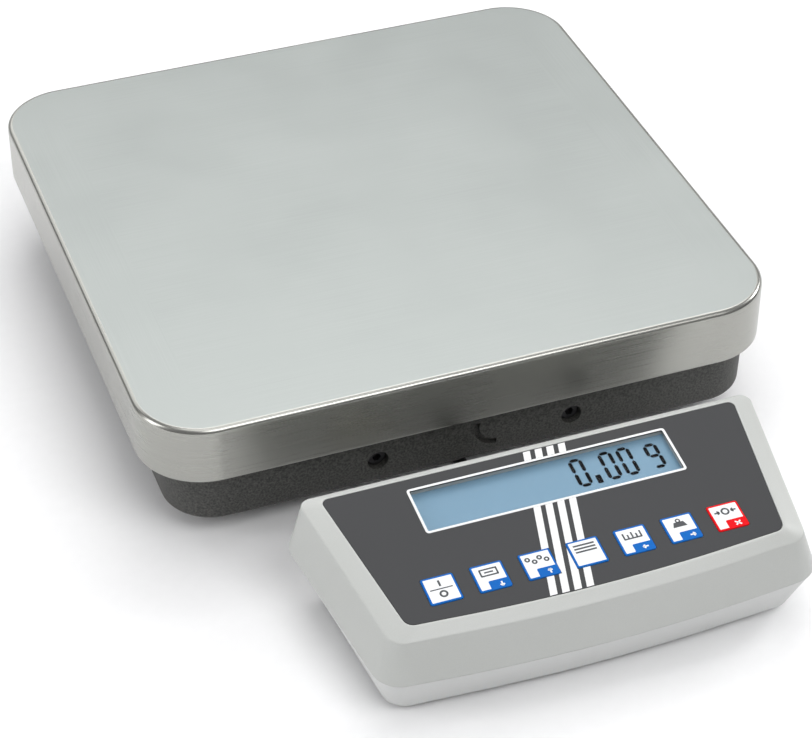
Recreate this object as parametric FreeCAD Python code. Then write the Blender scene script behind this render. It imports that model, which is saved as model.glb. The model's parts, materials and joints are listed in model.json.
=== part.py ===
import FreeCAD, Part
import math
import os

os.makedirs("parts", exist_ok=True)

# Counting scale: a square stainless pan on a cast platform, and a loose display
# unit in front of it on a cable.  Millimetres, +Z up, floor at Z = 0, +Y to the
# back.  The origin is at the middle of the whole footprint, on the floor.

V = FreeCAD.Vector
UP = V(0, 0, 1)

# ---------------------------------------------------------------- driving sizes
SCALE_LENGTH = 443.0          # display front to pan back
PAN_W = 315.0
PAN_D = 304.5
PAN_TOP = 75.0                # weighing surface above the floor
PAN_DROP = 30.2               # height of the turned-down flange
PAN_T = 1.2                   # sheet thickness
PAN_CORNER = 33.0
PAN_BEND = 2.6
PAN_Y = SCALE_LENGTH / 2 - PAN_D / 2

BASE_BOTTOM = 13.0
BASE_TOP = 60.0
BASE_X = 2.3                  # the pan sits a little left of the base's middle
BASE_W = 297.0                # at the bottom rim
BASE_D = 286.0
BASE_CORNER = 25.0
BASE_DRAFT = 1.6              # how far each wall leans out by its top
BASE_WALL = 3.6
BASE_FLOOR = 4.0
BASE_EDGE = 3.0               # round along the bottom rim

FOOT_X = 118.0
FOOT_Y = 110.0                # from the pan's middle
STUD_R = 4.0
RUNNING = 0.05                # radial play of a sliding or screwed fit

CELL = (130.0, 30.0, 22.0)    # load cell length, width, height
CELL_SCREW_R = 3.0
CELL_SCREW_X = (42.0, 57.0)   # screw places from the cell's middle
PEDESTAL = 3.5
SPACER_T = 2.0

ARM_X = 112.0                 # buffer places from the pan's middle
ARM_Y = 105.0
ARM_W = 22.0
ARM_T = 8.0
LOAD_TRAVEL = 0.4             # pan deflection at full load
STOP_GAP = LOAD_TRAVEL + 0.05
STOP_AT = 0.62                # stop places along the arms

FRONT_SCREW_X = 49.4
FRONT_SCREW_Z = 26.5
FRONT_SCREW_R = 2.5
FRONT_SCREW_DEPTH = 2.2       # how far the heads sit inside the front face

GLAND_X = -90.0
GLAND_Z = 27.0

DISPLAY_X = 7.6               # the display stands a little right of the middle
DISPLAY_BACK = -124.15        # rear edge of the top face
DISPLAY_TOP = 60.0
TILT = 7.2                    # slope of the top face, down to the front
RIDGE_TILT = TILT + 1.2       # the ridge round it falls away a little faster
SEAM_Z = 37.3                 # seam between the covers, under the rear edge
SEAM_GAP = 0.4
SHELL_BOTTOM = 3.0
SHELL_T = 2.5
BOW_R = 900.0                 # bowed front edges

POCKET = 1.4                  # keypad pocket depth in the top face
FILM_T = 0.5
OVERLAY_T = 0.9
KEY = 15.0
KEY_PITCH = 22.64
KEY_S = 67.75                 # key row, down the top face from its rear edge
KEY_TRAVEL = 0.4
KEY_T = 0.8
KEY_GAP = 0.2
KEY_NAMES = ("power", "print", "reference", "mode", "resolution", "unit", "tare")
WINDOW_W = 123.7
WINDOW_S = (10.3, 35.1)       # window's upper and lower edge, down the face

CORD_D = 6.0
CORD_X = 3.0                  # where the cable runs under the platform
RELIEF = (0.6, -106.0, 9.5)   # outer end of the display's strain relief
COIL_R = 36.0                 # outermost turn; the next one in is a cable nearer
COIL_Y = 253.0

LEVEL_X = 78.0
LEVEL_Y = PAN_Y + 124.0
LEVEL_Z = 40.0


# -------------------------------------------------------------------- helpers
def rounded(corners, radii, z=0.0):
    """Closed wire through the corners, each rounded with its own radius."""
    points = [V(x, y, z) for x, y in corners]
    count = len(points)
    marks = []
    for i in range(count):
        before = (points[i - 1] - points[i]).normalize()
        after = (points[(i + 1) % count] - points[i]).normalize()
        half_turn = (math.pi - before.getAngle(after)) / 2
        reach = radii[i] * math.tan(half_turn)
        middle = radii[i] * (1 / math.cos(half_turn) - 1)
        inward = (before + after).normalize()
        marks.append((points[i] + before * reach, points[i] + inward * middle,
                      points[i] + after * reach))
    edges = []
    for i in range(count):
        start, middle, end = marks[i]
        edges.append(Part.Arc(start, middle, end).toShape())
        edges.append(Part.LineSegment(end, marks[(i + 1) % count][0]).toShape())
    return Part.Wire(edges)


def rounded_rectangle(width, depth, radius, z=0.0, x=0.0, y=0.0):
    corners = [(x - width / 2, y + depth / 2), (x - width / 2, y - depth / 2),
               (x + width / 2, y - depth / 2), (x + width / 2, y + depth / 2)]
    return rounded(corners, [radius] * 4, z)


def slab(wire, height):
    return Part.Face(wire).extrude(V(0, 0, height))


def block(x, y, z, width, depth, height):
    """Box centred on x and y, standing on z."""
    return Part.makeBox(width, depth, height, V(x - width / 2, y - depth / 2, z))


def rod(x, y, z, radius, height, along=UP):
    return Part.makeCylinder(radius, height, V(x, y, z), along)


def hexagon(x, y, z, across_flats, height, along=UP):
    """Hexagonal prism standing on a point, along a direction."""
    reach = across_flats / 2 / math.cos(math.pi / 6)
    corners = [V(reach * math.cos(math.radians(60 * i)),
                 reach * math.sin(math.radians(60 * i)), 0) for i in range(7)]
    prism = Part.Face(Part.makePolygon(corners)).extrude(V(0, 0, height))
    turn = FreeCAD.Rotation(UP, along)
    prism.Placement = FreeCAD.Placement(V(x, y, z), turn)
    return prism


def socket_screw(x, y, z, radius, length, along):
    """Socket-head screw: the seat of its head at x, y, z, its shank pointing
    along a direction."""
    back = along * -1.0
    head_r = radius * 1.7
    head = rod(x, y, z, head_r, radius * 2, back)
    shank = rod(x, y, z, radius - RUNNING, length, along)
    top = V(x, y, z) + back * (radius * 2)
    key = hexagon(top.x, top.y, top.z, radius * 1.6, radius * 1.2, along)
    return head.fuse(shank).removeSplitter().cut(key)


def four(x, y):
    """The four places at plus and minus x and y round the pan's middle."""
    return [(sx * x, PAN_Y + sy * y) for sy in (-1, 1) for sx in (-1, 1)]


def save(name, shapes):
    """Write one node: a single solid, or several separate ones as a group."""
    shape = shapes[0] if len(shapes) == 1 else Part.makeCompound(shapes)
    for solid in shape.Solids:
        if not solid.isValid():
            print("NOT VALID", name)
    shape.exportStep("parts/%s.step" % name)
    box = shape.BoundBox
    print("%-22s solids %2d  X %7.1f %7.1f  Y %7.1f %7.1f  Z %6.1f %6.1f" % (
        name, len(shape.Solids), box.XMin, box.XMax, box.YMin, box.YMax,
        box.ZMin, box.ZMax))


# ------------------------------------------------------------------- platform
PAN_UNDER = PAN_TOP - PAN_T
FLOOR_Z = BASE_BOTTOM + BASE_FLOOR
CELL_Z = FLOOR_Z + PEDESTAL + SPACER_T
CARRIER_Z = CELL_Z + CELL[2] + SPACER_T
BUFFER_Z = CARRIER_Z + ARM_T + 7.5


def pan():
    """Pressed sheet: a flat top with its edge turned down all round."""
    def shell(inset, bend, low):
        body = slab(rounded_rectangle(PAN_W - 2 * inset, PAN_D - 2 * inset,
                                      PAN_CORNER - inset, low, 0, PAN_Y),
                    PAN_TOP - inset - low)
        rim = [e for e in body.Edges
               if abs(e.BoundBox.ZMin - (PAN_TOP - inset)) < 0.01
               and abs(e.BoundBox.ZMax - (PAN_TOP - inset)) < 0.01]
        return body.makeFillet(bend, rim)

    low = PAN_TOP - PAN_DROP
    return shell(0.0, PAN_BEND, low).cut(shell(PAN_T, PAN_BEND - PAN_T, low - 1.0))


def base_housing():
    """Cast tray: drafted walls, floor with bosses, recesses and a cable
    channel underneath."""
    def wall_loft(inset, low, high):
        wires = []
        for z in (low, high):
            out = BASE_DRAFT * (z - BASE_BOTTOM) / (BASE_TOP - BASE_BOTTOM) - inset
            wires.append(rounded_rectangle(BASE_W + 2 * out, BASE_D + 2 * out,
                                           BASE_CORNER + out, z, BASE_X, PAN_Y))
        return Part.makeLoft(wires, True, True)

    outer = wall_loft(0.0, BASE_BOTTOM, BASE_TOP)
    rim = [e for e in outer.Edges if e.BoundBox.ZMax < BASE_BOTTOM + 0.01]
    tray = outer.makeFillet(BASE_EDGE, rim).cut(wall_loft(BASE_WALL, FLOOR_Z, BASE_TOP + 1))
    front = PAN_Y - BASE_D / 2
    back = PAN_Y + BASE_D / 2
    adds = []
    cuts = []
    for x, y in four(FOOT_X, FOOT_Y):
        adds.append(rod(x, y, FLOOR_Z - 1, 10.0, 13.0))
        cuts.append(rod(x, y, BASE_BOTTOM - 1, STUD_R + RUNNING, 30.0))
    for x, y in four(ARM_X * STOP_AT, ARM_Y * STOP_AT):
        adds.append(rod(x, y, FLOOR_Z - 1, 8.0, 11.0))
        cuts.append(rod(x, y, FLOOR_Z - 1, 3.0, 12.0))
    adds.append(block(-sum(CELL_SCREW_X) / 2, PAN_Y, FLOOR_Z - 1, 32.0, 34.0, PEDESTAL + 1))
    for x in CELL_SCREW_X:
        cuts.append(rod(-x, PAN_Y, BASE_BOTTOM - 1, CELL_SCREW_R + 0.3, 12.0))
        cuts.append(rod(-x, PAN_Y, BASE_BOTTOM - 1, CELL_SCREW_R * 2, 1 + 3.0))
    for side in (-1, 1):
        x = BASE_X + side * FRONT_SCREW_X
        adds.append(block(x, front + 9.0, FLOOR_Z - 1, 18.0, 13.0, 20.0))
        seat = FRONT_SCREW_DEPTH + 2 * FRONT_SCREW_R
        cuts.append(rod(x, front - 2, FRONT_SCREW_Z, 2 * FRONT_SCREW_R + 0.2, seat + 2, V(0, 1, 0)))
        cuts.append(rod(x, front, FRONT_SCREW_Z, FRONT_SCREW_R, 30.0, V(0, 1, 0)))
        adds.append(block(side * 30.0, PAN_Y, FLOOR_Z - 1, 4.0, BASE_D - 12, 4.0))
        adds.append(block(0, PAN_Y + side * 60.0, FLOOR_Z - 1, BASE_W - 12, 4.0, 4.0))
    adds.append(rod(LEVEL_X, LEVEL_Y, FLOOR_Z - 1, 11.0, LEVEL_Z - FLOOR_Z + 1))
    cuts.append(rod(LEVEL_X, LEVEL_Y, LEVEL_Z - 12, 1.6, 13.0))
    adds.append(block(GLAND_X, back - 5.0, FLOOR_Z - 1, 22.0, 6.0, 22.0))
    cuts.append(rod(GLAND_X, back - 20, GLAND_Z, 6.0, 30.0, V(0, 1, 0)))
    # shallow channel across the underside that the display cable lies in
    cuts.append(block(CORD_X, PAN_Y, BASE_BOTTOM - 1, 16.0, BASE_D + 8, 1 + 2.0))
    # curved grip recess in the front face, open to the rim below
    recess = rod(13.0, front - 3.0, BASE_BOTTOM + 19.0, 12.0, 5.0, V(0, 1, 0))
    recess = recess.cut(rod(13.0, front - 4.0, BASE_BOTTOM + 19.0, 9.0, 7.0, V(0, 1, 0)))
    cuts.append(recess.common(Part.makeBox(14.0, 8.0, 20.0, V(-1.0, front - 4.0, BASE_BOTTOM + 2.0))))
    for piece in adds:
        tray = tray.fuse(piece)
    tray = tray.removeSplitter()
    for piece in cuts:
        tray = tray.cut(piece)
    return tray


def carrier():
    """Cast spider: a hub over the load cell's free end and four arms."""
    hub = block(0, PAN_Y, CARRIER_Z, 136.0, 44.0, ARM_T)
    span = math.hypot(ARM_X, ARM_Y)
    angle = math.degrees(math.atan2(ARM_Y, ARM_X))
    for turn in (angle, -angle):
        arm = block(0, 0, CARRIER_Z, 2 * span, ARM_W, ARM_T)
        rib = block(0, 0, CARRIER_Z + ARM_T - 1, 2 * span, 4.0, 5.0)
        for piece in (arm, rib):
            piece.rotate(V(0, 0, 0), UP, turn)
            piece.translate(V(0, PAN_Y, 0))
            hub = hub.fuse(piece)
    for x, y in four(ARM_X, ARM_Y):
        hub = hub.fuse(rod(x, y, CARRIER_Z, 13.0, BUFFER_Z - CARRIER_Z))
    hub = hub.removeSplitter()
    for x in CELL_SCREW_X:
        hub = hub.cut(rod(x, PAN_Y, CARRIER_Z - 1, CELL_SCREW_R + 0.3, 20.0))
        hub = hub.cut(rod(x, PAN_Y, CARRIER_Z + ARM_T, CELL_SCREW_R * 2, 10.0))
    for x, y in four(ARM_X, ARM_Y):
        hub = hub.cut(rod(x, y, BUFFER_Z - 8, 4.0, 10.0))
    return hub


def buffers():
    """Rubber pads: a stem pushed into each arm's end and a domed head."""
    pads = []
    for x, y in four(ARM_X, ARM_Y):
        height = PAN_UNDER - BUFFER_Z
        profile = Part.Wire([
            Part.LineSegment(V(0, 0, -6), V(3.9, 0, -6)).toShape(),
            Part.LineSegment(V(3.9, 0, -6), V(3.9, 0, 0)).toShape(),
            Part.LineSegment(V(3.9, 0, 0), V(11, 0, 0)).toShape(),
            Part.Arc(V(11, 0, 0), V(10.2, 0, height * 0.62), V(7, 0, height)).toShape(),
            Part.LineSegment(V(7, 0, height), V(0, 0, height)).toShape(),
            Part.LineSegment(V(0, 0, height), V(0, 0, -6)).toShape()])
        pad = Part.Face(profile).revolve(V(0, 0, 0), UP, 360)
        pad.translate(V(x, y, BUFFER_Z))
        pads.append(pad.Solids[0])
    return pads


def load_cell():
    """Aluminium bending beam with the two joined holes that thin it."""
    length, width, height = CELL
    beam = block(0, PAN_Y, CELL_Z, length, width, height)
    middle = CELL_Z + height / 2
    hole = block(0, PAN_Y, middle - 2.5, 24.0, width + 2, 5.0)
    for x in (-12.0, 12.0):
        hole = hole.fuse(rod(x, PAN_Y - width / 2 - 1, middle, 8.6, width + 2, V(0, 1, 0)))
    beam = beam.cut(hole)
    for x in CELL_SCREW_X:
        beam = beam.cut(rod(-x, PAN_Y, CELL_Z - 1, CELL_SCREW_R, 13.0))
        beam = beam.cut(rod(x, PAN_Y, CELL_Z + height - 12, CELL_SCREW_R, 13.0))
    return beam


def spacer(side, z):
    x = side * sum(CELL_SCREW_X) / 2
    plate = block(x, PAN_Y, z, 30.0, CELL[1], SPACER_T)
    for place in CELL_SCREW_X:
        plate = plate.cut(rod(side * place, PAN_Y, z - 1, CELL_SCREW_R + 0.3, SPACER_T + 2))
    return plate


def foot_disc(x, y):
    """Ribbed levelling disc with its stud, which screws into the base."""
    disc = rod(x, y, 0.0, 14.0, 8.0)
    disc = disc.makeFillet(1.2, [e for e in disc.Edges if e.BoundBox.ZLength < 0.1])
    for i in range(12):
        turn = math.radians(30 * i)
        flute = rod(x + 15.2 * math.cos(turn), y + 15.2 * math.sin(turn), 2.0, 2.2, 7.0)
        disc = disc.cut(flute)
    return disc.cut(rod(x, y, 3.0, STUD_R, 6.0))


# ------------------------------------------------------------------ display
FACE = FreeCAD.Placement(V(DISPLAY_X, DISPLAY_BACK, DISPLAY_TOP),
                         FreeCAD.Rotation(V(1, 0, 0), TILT))
RIDGE = FreeCAD.Placement(V(DISPLAY_X, DISPLAY_BACK, DISPLAY_TOP - 1.2),
                          FreeCAD.Rotation(V(1, 0, 0), RIDGE_TILT))
SEAM = FreeCAD.Placement(V(DISPLAY_X, DISPLAY_BACK, SEAM_Z),
                         FreeCAD.Rotation(V(1, 0, 0), TILT))


def placed(shape, placement):
    """The same shape moved onto the display's sloping face."""
    moved = shape.copy()
    moved.transformShape(placement.toMatrix())
    return moved


def tray_wire(rear_half, front_half, rear, front, bow, rear_r, front_r, z=0.0, inset=0.0):
    """Outline of the display: straight rear, sides that close in towards the
    front, and a bowed front edge."""
    rear -= inset
    front += inset
    corners = [(-rear_half + inset, rear), (-front_half + inset, front), (0, front - bow),
               (front_half - inset, front), (rear_half - inset, rear)]
    return rounded(corners, [rear_r, front_r, BOW_R, front_r, rear_r], z)


def face_wire(inset=0.0, z=0.0):
    return placed(tray_wire(102.2, 89.6, -2.4, -83.4, 7.2, 5.0, 6.5, z, inset), FACE)


def ridge_wire(inset=0.0, z=0.0):
    return placed(tray_wire(110.8, 97.8, 0.4, -88.2, 7.6, 4.5, 8.5, z, inset), RIDGE)


def seam_wire(inset=0.0, z=0.0):
    return placed(tray_wire(118.5, 103.8, 2.6, -92.5, 9.05, 9.0, 13.0, z, inset), SEAM)


def bottom_wire(inset=0.0, z=SHELL_BOTTOM):
    wire = tray_wire(103.0, 97.0, -1.2, -83.2, 6.0, 8.0, 11.0, z, inset)
    wire.translate(V(DISPLAY_X, DISPLAY_BACK, 0))
    return wire


def seam_height(y):
    """Height of the seam at a distance in front of the rear edge."""
    return SEAM_Z + y * math.tan(math.radians(TILT))


def overlay_wire(grow=0.0, z=0.0):
    return tray_wire(101.0, 88.9, -3.5, -82.0, 6.6, 3.0, 5.0, z, -grow)


def window_wire(grow=0.0, z=0.0):
    upper, lower = WINDOW_S
    return rounded_rectangle(WINDOW_W + 2 * grow, lower - upper + 2 * grow, 0.8 + max(grow, 0),
                             z, 0, -(upper + lower) / 2)


def key_x(index):
    return (index - (len(KEY_NAMES) - 1) / 2) * KEY_PITCH


RELIEF_NECK = 3.6             # strain relief where it passes through the shell


def display_feet_places():
    return [(DISPLAY_X + x, DISPLAY_BACK + y) for x in (-80.0, 80.0) for y in (-12.0, -68.0)]


PILLARS = [(x, y) for x in (-84.0, 84.0) for y in (-14.0, -54.0)]
COVER_SCREWS = [(-94.0, -12.0), (94.0, -12.0), (-87.0, -72.0), (87.0, -72.0)]
COVER_SEAT = 14.0             # heads of the cover screws, below the seam
BOARD_Z = -14.4               # top of the main board under the face
SOCKET_DATA_X = -55.0
SOCKET_POWER_X = 60.0
SOCKET_Z = 22.0


def upper_cover():
    outer = Part.makeLoft([seam_wire(), ridge_wire(), face_wire()], True, True)
    inner = Part.makeLoft([seam_wire(SHELL_T, -0.5), ridge_wire(SHELL_T + 0.6, -SHELL_T),
                           face_wire(1.0, -SHELL_T - 1.0)], True, True)
    cover = outer.cut(inner)
    for x, y in PILLARS:
        cover = cover.fuse(placed(rod(x, y, BOARD_Z, 4.0, -BOARD_Z - SHELL_T), FACE))
    for x, y in COVER_SCREWS:
        boss = rod(DISPLAY_X + x, DISPLAY_BACK + y, seam_height(y) - 2.0, 4.5, 36.0)
        cover = cover.fuse(boss.common(outer))
    cover = cover.removeSplitter()
    cover = cover.cut(placed(slab(overlay_wire(KEY_GAP, -POCKET), 5.0), FACE))
    cover = cover.cut(placed(slab(window_wire(0.6, -8.0), 9.0), FACE))
    for x, y in PILLARS:
        cover = cover.cut(placed(rod(x, y, BOARD_Z - 1, 1.25, 10.0), FACE))
    for x, y in COVER_SCREWS:
        cover = cover.cut(rod(DISPLAY_X + x, DISPLAY_BACK + y, seam_height(y) - 2.0, 1.5, 12.0))
    return cover


def lower_cover():
    outer = Part.makeLoft([seam_wire(0.4, -SEAM_GAP), bottom_wire()], True, True)
    rim = [e for e in outer.Edges if e.BoundBox.ZMax < SHELL_BOTTOM + 0.01]
    outer = outer.makeFillet(3.5, rim)
    inner = Part.makeLoft([seam_wire(SHELL_T + 0.3, 0.5),
                           bottom_wire(SHELL_T + 1.0, SHELL_BOTTOM + SHELL_T)], True, True)
    cover = outer.cut(inner)
    for x, y in COVER_SCREWS:
        boss = rod(DISPLAY_X + x, DISPLAY_BACK + y, SHELL_BOTTOM + 1, 5.5, SEAM_Z)
        cover = cover.fuse(boss.common(outer))
    cover = cover.removeSplitter()
    for x, y in COVER_SCREWS:
        seat = seam_height(y) - COVER_SEAT
        cover = cover.cut(rod(DISPLAY_X + x, DISPLAY_BACK + y, 0, 1.8, SEAM_Z + 5))
        cover = cover.cut(rod(DISPLAY_X + x, DISPLAY_BACK + y, 0, 3.6, seat))
    for x, y in display_feet_places():
        cover = cover.cut(rod(x, y, 0, 6.2, SHELL_BOTTOM + 0.8))
    cover = cover.cut(block(DISPLAY_X + SOCKET_DATA_X, DISPLAY_BACK, SOCKET_Z - 6.5, 31.4, 12.0, 13.0))
    cover = cover.cut(rod(DISPLAY_X + SOCKET_POWER_X, DISPLAY_BACK - 6, SOCKET_Z, 5.6, 14.0, V(0, 1, 0)))
    x, y, z = RELIEF
    return cover.cut(rod(x, y - 30, z, RELIEF_NECK, 24.0, V(0, 1, 0)))


def display_feet():
    feet = []
    for x, y in display_feet_places():
        foot = rod(x, y, 0.0, 6.0, SHELL_BOTTOM + 0.8)
        feet.append(foot.makeFillet(0.8, [foot.Edges[i] for i in range(3)
                                          if foot.Edges[i].BoundBox.ZMax < 0.01]))
    return feet


def keypad_overlay():
    """Printed film on the top face, with holes for the window and the keys."""
    film = slab(overlay_wire(0.0, -OVERLAY_T), OVERLAY_T)
    film = film.cut(slab(window_wire(0.0, -OVERLAY_T - 1), 3.0))
    for i in range(len(KEY_NAMES)):
        opening = rounded_rectangle(KEY + 2 * KEY_GAP, KEY + 2 * KEY_GAP, 1.2,
                                    -OVERLAY_T - 1, key_x(i), -KEY_S)
        film = film.cut(slab(opening, 3.0))
    return placed(film, FACE)


def keypad_circuit():
    """Switch film under the overlay."""
    film = slab(overlay_wire(0.0, -POCKET), FILM_T)
    return placed(film.cut(slab(window_wire(0.3, -POCKET - 1), 3.0)), FACE)


def key(index):
    cap = slab(rounded_rectangle(KEY, KEY, 1.0, -OVERLAY_T + KEY_TRAVEL + 0.05,
                                 key_x(index), -KEY_S), KEY_T)
    top = -OVERLAY_T + KEY_TRAVEL + 0.05 + KEY_T
    cap = cap.makeFillet(0.25, [e for e in cap.Edges if e.BoundBox.ZMin > top - 0.01])
    return placed(cap, FACE)


def window_pane():
    return placed(slab(window_wire(-0.05, -OVERLAY_T), OVERLAY_T), FACE)


def lcd_piece(grow, z, height):
    upper, lower = WINDOW_S
    return placed(block(0, -(upper + lower) / 2, z, WINDOW_W + 2 * grow,
                        lower - upper + 2 * grow, height), FACE)


def lcd_frame():
    """Plastic frame that holds the panel and its backlight on the board."""
    frame = lcd_piece(3.2, BOARD_Z, 10.6)
    return frame.cut(lcd_piece(2.0, BOARD_Z + 3.0, 12.0))


def main_board():
    board = placed(block(0, -34.0, BOARD_Z - 1.6, 176.0, 52.0, 1.6), FACE)
    for x, y in PILLARS:
        board = board.cut(placed(rod(x, y, BOARD_Z - 3, 1.6, 5.0), FACE))
    return board


def board_parts():
    """Larger components soldered to the board's underside."""
    sizes = [(-60.0, -30.0, 14.0, 14.0, 2.2), (-30.0, -38.0, 10.0, 18.0, 3.0),
             (0.0, -28.0, 22.0, 8.0, 4.0), (34.0, -36.0, 12.0, 12.0, 2.2)]
    parts = [placed(block(x, y, BOARD_Z - 1.6 - h, w, d, h), FACE) for x, y, w, d, h in sizes]
    for x in (54.0, 66.0):
        parts.append(placed(rod(x, -30.0, BOARD_Z - 1.6 - 8.0, 4.0, 8.0), FACE))
    return parts


def board_screws():
    down = FACE.Rotation.multVec(V(0, 0, 1))
    screws = []
    for x, y in PILLARS:
        seat = FACE.multVec(V(x, y, BOARD_Z - 1.6))
        head = rod(seat.x, seat.y, seat.z, 2.6, 1.8, down * -1.0)
        screws.append(head.fuse(rod(seat.x, seat.y, seat.z, 1.2, 8.0, down)).removeSplitter())
    return screws


def cover_screws():
    screws = []
    for x, y in COVER_SCREWS:
        z = seam_height(y) - COVER_SEAT
        head = rod(DISPLAY_X + x, DISPLAY_BACK + y, z - 2.2, 3.0, 2.2)
        shank = rod(DISPLAY_X + x, DISPLAY_BACK + y, z, 1.4, COVER_SEAT + 9.0)
        slot = block(DISPLAY_X + x, DISPLAY_BACK + y, z - 2.3, 3.6, 0.8, 1.1)
        cross = block(DISPLAY_X + x, DISPLAY_BACK + y, z - 2.3, 0.8, 3.6, 1.1)
        screws.append(head.fuse(shank).removeSplitter().cut(slot).cut(cross))
    return screws


def data_socket():
    """Nine-way D connector: flanged shell with its pin holes."""
    x = DISPLAY_X + SOCKET_DATA_X
    body = block(x, DISPLAY_BACK - 3.4, SOCKET_Z - 6.3, 31.0, 10.0, 12.6)
    nose = rounded([(x - 8.4, SOCKET_Z + 3.9), (x - 7.2, SOCKET_Z - 3.9),
                    (x + 7.2, SOCKET_Z - 3.9), (x + 8.4, SOCKET_Z + 3.9)], [1.6] * 4)
    nose = slab(nose, 3.2)
    nose.rotate(V(0, 0, 0), V(1, 0, 0), 90)
    nose.translate(V(0, DISPLAY_BACK + 4.8, 0))
    body = body.fuse(nose).removeSplitter()
    for row, count in ((1.4, 5), (-1.4, 4)):
        for i in range(count):
            hole = rod(x + (i - (count - 1) / 2) * 2.77, DISPLAY_BACK + 0.8, SOCKET_Z + row,
                       0.6, 5.0, V(0, 1, 0))
            body = body.cut(hole)
    return body


POWER_R = 2.75
POWER_DEPTH = 9.0


def power_socket():
    x = DISPLAY_X + SOCKET_POWER_X
    y = DISPLAY_BACK + 2.75
    body = rod(x, y - 12.0, SOCKET_Z, 5.4, 12.0, V(0, 1, 0))
    body = body.fuse(rod(x, y - 1.0, SOCKET_Z, 6.6, 1.6, V(0, 1, 0))).removeSplitter()
    return body.cut(rod(x, y + 0.6 - POWER_DEPTH, SOCKET_Z, POWER_R, POWER_DEPTH + 1, V(0, 1, 0)))


def strain_relief():
    """Tapered, ringed sleeve with a neck that fits the lower cover."""
    x, y, z = RELIEF
    length = 17.8
    start = y - length
    sleeve = Part.makeCone(5.2, 3.8, length, V(x, start, z), V(0, 1, 0))
    for i in range(3):
        ring = rod(x, start + 5.0 + i * 3.4, z, 8.0, 1.2, V(0, 1, 0))
        sleeve = sleeve.cut(ring.cut(rod(x, start, z, 3.7, length, V(0, 1, 0))))
    neck = rod(x, start - 7.5, z, RELIEF_NECK - 0.1, 8.0, V(0, 1, 0))
    return sleeve.fuse(neck).removeSplitter()


def spirit_level():
    cup = rod(LEVEL_X, LEVEL_Y, LEVEL_Z, 9.5, 8.0)
    return cup.cut(rod(LEVEL_X, LEVEL_Y, LEVEL_Z + 2.0, 8.0, 8.0))


def level_glass():
    glass = rod(LEVEL_X, LEVEL_Y, LEVEL_Z + 2.0, 7.95, 7.0)
    return glass.makeFillet(1.2, [e for e in glass.Edges if e.BoundBox.ZMin > LEVEL_Z + 8.9])


GLAND_LENGTH = 13.0


def cable_gland():
    """Hexagonal gland in the rear face, and the nut behind the wall."""
    back = PAN_Y + BASE_D / 2 + BASE_DRAFT
    body = hexagon(GLAND_X, back, GLAND_Z, 15.0, 5.0, V(0, 1, 0))
    body = body.fuse(rod(GLAND_X, back + 4.0, GLAND_Z, 6.6, GLAND_LENGTH - 4.0, V(0, 1, 0)))
    body = body.fuse(rod(GLAND_X, back - 18.0, GLAND_Z, 5.95, 19.0, V(0, 1, 0))).removeSplitter()
    return body


# -------------------------------------------------------------------- cable
def rounded_path(points):
    """Straight runs joined by tangent arcs as large as their runs allow."""
    here = [V(*p) for p in points]
    edges = []
    start = here[0]
    for i in range(1, len(here) - 1):
        before = here[i - 1] - here[i]
        after = here[i + 1] - here[i]
        half_turn = (math.pi - before.getAngle(after)) / 2
        reach = 0.45 * min(before.Length, after.Length)
        radius = reach / math.tan(half_turn)
        print("  bend radius %.1f" % radius)
        before.normalize()
        after.normalize()
        first = here[i] + before * reach
        last = here[i] + after * reach
        middle = here[i] + (before + after).normalize() * (radius * (1 / math.cos(half_turn) - 1))
        edges.append(Part.LineSegment(start, first).toShape())
        edges.append(Part.Arc(first, middle, last).toShape())
        start = last
    edges.append(Part.LineSegment(start, here[-1]).toShape())
    return Part.Wire(edges)


def tube(points):
    path = rounded_path(points)
    direction = V(*points[1]) - V(*points[0])
    ring = Part.Wire([Part.makeCircle(CORD_D / 2, V(*points[0]), direction)])
    solid = path.makePipeShell([ring], True, False)
    print("  length %.1f, volume ratio %.4f" % (
        path.Length, solid.Volume / (path.Length * math.pi * CORD_D ** 2 / 4)))
    return solid


LAY = CORD_D / 2              # height of the cable's middle on the floor
COIL_X = CORD_X - COIL_R
DISPLAY_ROUTE = [RELIEF, (0.6, -94.0, 9.5), (-0.4, -76.0, LAY + 0.2), (-1.4, -45.0, LAY),
                 (1.8, 8.0, LAY), (4.0, 74.0, LAY), (5.2, 140.0, LAY), (4.6, 196.0, LAY),
                 (CORD_X, 229.0, LAY), (CORD_X + 0.05, COIL_Y, LAY)]
GLAND_END = PAN_Y + BASE_D / 2 + BASE_DRAFT + GLAND_LENGTH
PLATFORM_ROUTE = [(COIL_X, COIL_Y + COIL_R, 9.0), (-57.0, 288.8, 9.8), (-78.0, 277.5, 13.4),
                  (-89.0, 258.0, 21.5), (GLAND_X, 239.0, GLAND_Z), (GLAND_X, GLAND_END, GLAND_Z)]


def cable_coil():
    """Outer shape of four turns, two wide and two high."""
    profile = rounded_rectangle(2 * CORD_D, 2 * CORD_D, 2.9)
    profile.rotate(V(0, 0, 0), V(1, 0, 0), 90)
    profile.translate(V(COIL_R - CORD_D / 2, 0, CORD_D))
    ring = Part.Face(profile).revolve(V(0, 0, 0), UP, 360)
    ring.translate(V(COIL_X, COIL_Y, 0))
    return ring.Solids[0]


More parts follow.
